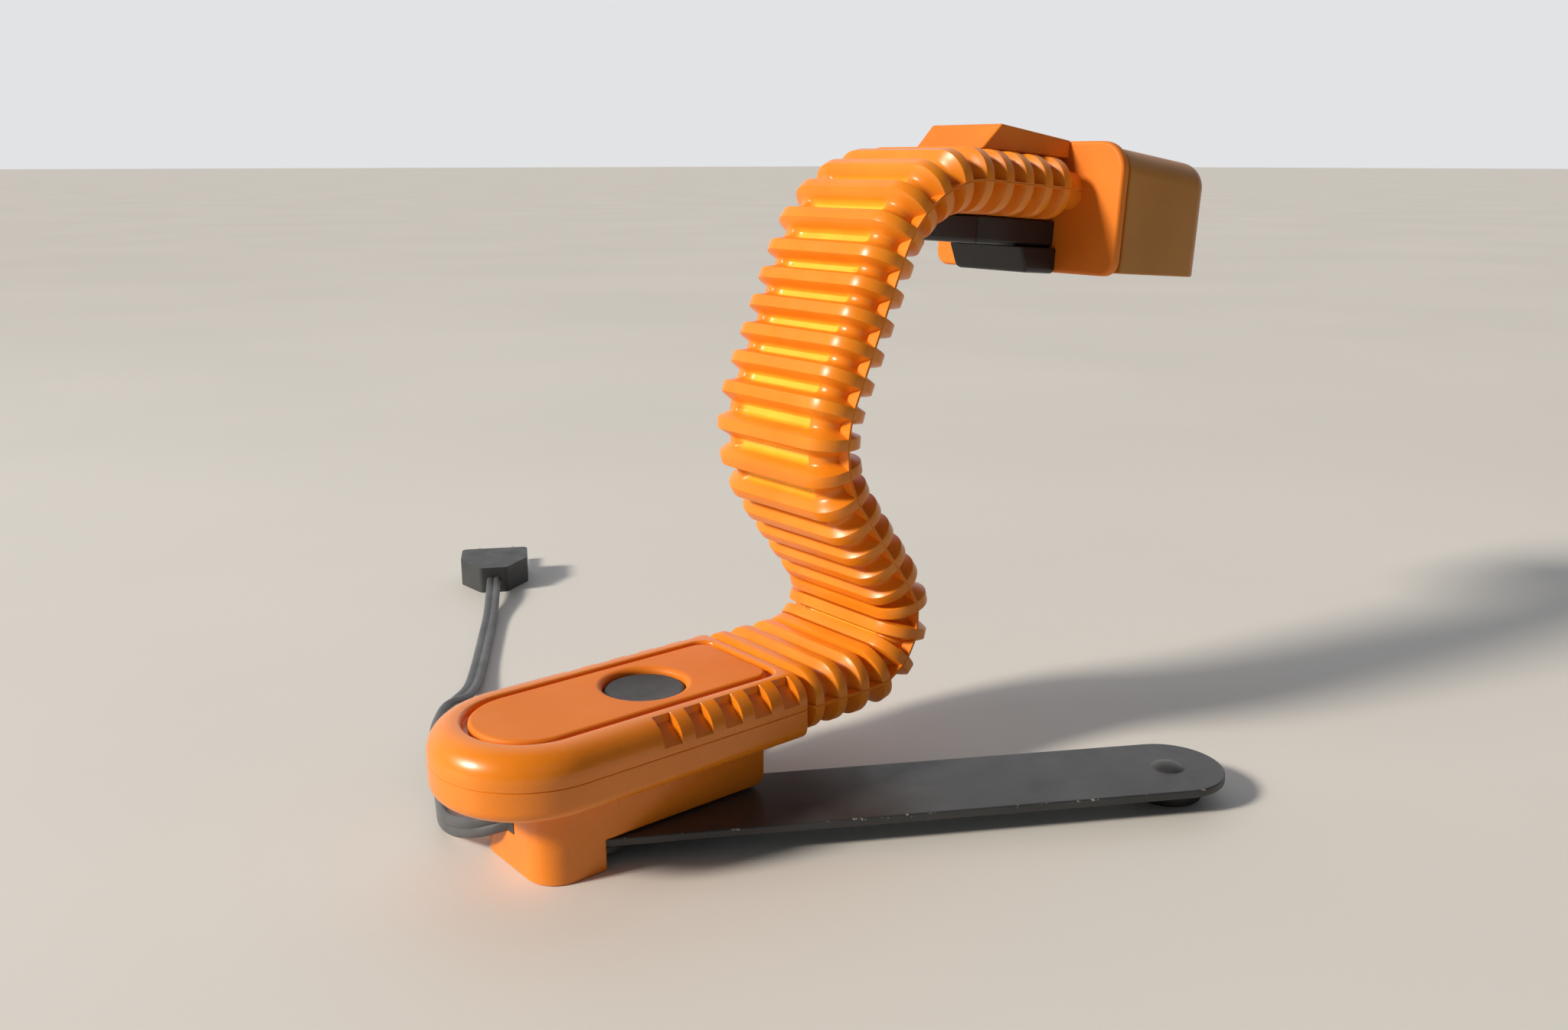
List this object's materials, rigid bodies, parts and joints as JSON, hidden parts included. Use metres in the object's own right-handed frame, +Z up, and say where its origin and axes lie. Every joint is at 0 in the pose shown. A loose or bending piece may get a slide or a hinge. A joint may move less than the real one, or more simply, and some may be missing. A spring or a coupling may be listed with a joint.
{
  "type": "desk lamp",
  "caption": "Folding desk lamp with a flat bendable accordion neck, a deep shade, a round push button in the base and swing-out plate legs.",
  "frame": {"origin": "centre of the foot block's underside, on the table", "axes": "+X from the round nose along the base to the head, +Y to the left seen from the nose, +Z up"},
  "size_m": [0.3233, 0.4446, 0.2363],
  "materials": {
    "orange_plastic": "glossy moulded plastic",
    "dark_plastic": "satin moulded plastic",
    "pale_plastic": "plain moulded plastic",
    "holder_plastic": "phenolic moulding",
    "link_nylon": "moulded nylon",
    "leg_paint": "dark grey semi-gloss paint on steel plate",
    "steel": "plated steel",
    "spring_steel": "spring steel wire",
    "iron": "raw cast iron",
    "rubber": "black rubber",
    "cord_rubber": "flat twin cord, dark grey sheath",
    "brass": "nickel plated brass",
    "bulb_glass": "frosted glass",
    "aluminium": "polished aluminium sheet"
  },
  "bodies": {
    "base": {"base_top_shell": "orange_plastic", "base_tray": "orange_plastic", "base_keel": "orange_plastic", "top_panel": "orange_plastic", "button_spring": "spring_steel", "switch_body": "dark_plastic", "terminal_block": "pale_plastic", "ballast_plate": "iron", "cord_clamp": "dark_plastic", "base_screws": "steel", "leg_pivot_screw": "steel", "leg_pivot_nut": "steel", "pivot_washers": "steel", "neck_anchor": "link_nylon", "neck_root_front": "orange_plastic", "neck_root_back": "orange_plastic", "cord_bush": "rubber", "cord_lead": "cord_rubber", "cord_coil": "cord_rubber", "cord_tail": "cord_rubber", "plug_body": "cord_rubber", "plug_pins": "brass"},
    "button": {"push_button": "dark_plastic"},
    "leg_right": {"leg_right": "leg_paint", "foot_right": "rubber", "rivet_right": "steel"},
    "leg_left": {"leg_left": "leg_paint", "foot_left": "rubber", "rivet_left": "steel"},
    "neck_1": {"neck_front_1": "orange_plastic", "neck_back_1": "orange_plastic", "neck_link_1": "link_nylon"},
    "neck_2": {"neck_front_2": "orange_plastic", "neck_back_2": "orange_plastic", "neck_link_2": "link_nylon"},
    "neck_3": {"neck_front_3": "orange_plastic", "neck_back_3": "orange_plastic", "neck_link_3": "link_nylon"},
    "neck_4": {"neck_front_4": "orange_plastic", "neck_back_4": "orange_plastic", "neck_link_4": "link_nylon"},
    "neck_5": {"neck_front_5": "orange_plastic", "neck_back_5": "orange_plastic", "neck_link_5": "link_nylon"},
    "neck_6": {"neck_front_6": "orange_plastic", "neck_back_6": "orange_plastic", "neck_link_6": "link_nylon"},
    "head": {"neck_front_7": "orange_plastic", "neck_back_7": "orange_plastic", "neck_link_7": "link_nylon", "head_back_plate": "orange_plastic", "head_shade": "orange_plastic", "head_reflector": "aluminium", "head_hood": "orange_plastic", "neck_clamp": "dark_plastic", "holder_cover": "dark_plastic", "lamp_holder": "holder_plastic", "bulb_cap": "brass", "bulb_glass": "bulb_glass", "head_screws": "steel"}
  },
  "joints": [
    {"name": "button_press", "type": "slide", "parent": "base", "child": "button", "axis": [0, 0, -1], "range_m": [0, 0.003], "stiffness_N_per_m": 600, "springref_m": -0.001, "deforming": ["button_spring"]},
    {"name": "leg_right_swing", "type": "hinge", "parent": "base", "child": "leg_right", "pos_m": [0.0162, 0, 0.0088], "axis": [0, 0, 1], "range_deg": [0, 24.7]},
    {"name": "leg_left_swing", "type": "hinge", "parent": "base", "child": "leg_left", "pos_m": [0.0162, 0, 0.0053], "axis": [0, 0, -1], "range_deg": [0, 22.7]},
    {"name": "neck_bend_1", "type": "hinge", "parent": "base", "child": "neck_1", "pos_m": [0.09915, 0, 0.0392], "axis": [0, 1, 0], "range_deg": [-12, 8]},
    {"name": "neck_bend_2", "type": "hinge", "parent": "neck_1", "child": "neck_2", "pos_m": [0.13806, 0, 0.04984], "axis": [0, 1, 0], "range_deg": [0, 10]},
    {"name": "neck_bend_3", "type": "hinge", "parent": "neck_2", "child": "neck_3", "pos_m": [0.12576, 0, 0.08773], "axis": [0, 1, 0], "range_deg": [-12, 8]},
    {"name": "neck_bend_4", "type": "hinge", "parent": "neck_3", "child": "neck_4", "pos_m": [0.10564, 0, 0.12477], "axis": [0, 1, 0], "range_deg": [-12, 8]},
    {"name": "neck_bend_5", "type": "hinge", "parent": "neck_4", "child": "neck_5", "pos_m": [0.11835, 0, 0.16507], "axis": [0, 1, 0], "range_deg": [-12, 10]},
    {"name": "neck_bend_6", "type": "hinge", "parent": "neck_5", "child": "neck_6", "pos_m": [0.13763, 0, 0.20308], "axis": [0, 1, 0], "range_deg": [-12, 10]},
    {"name": "neck_bend_7", "type": "hinge", "parent": "neck_6", "child": "head", "pos_m": [0.17661, 0, 0.21603], "axis": [0, 1, 0], "range_deg": [-15, 15]}
  ]
}
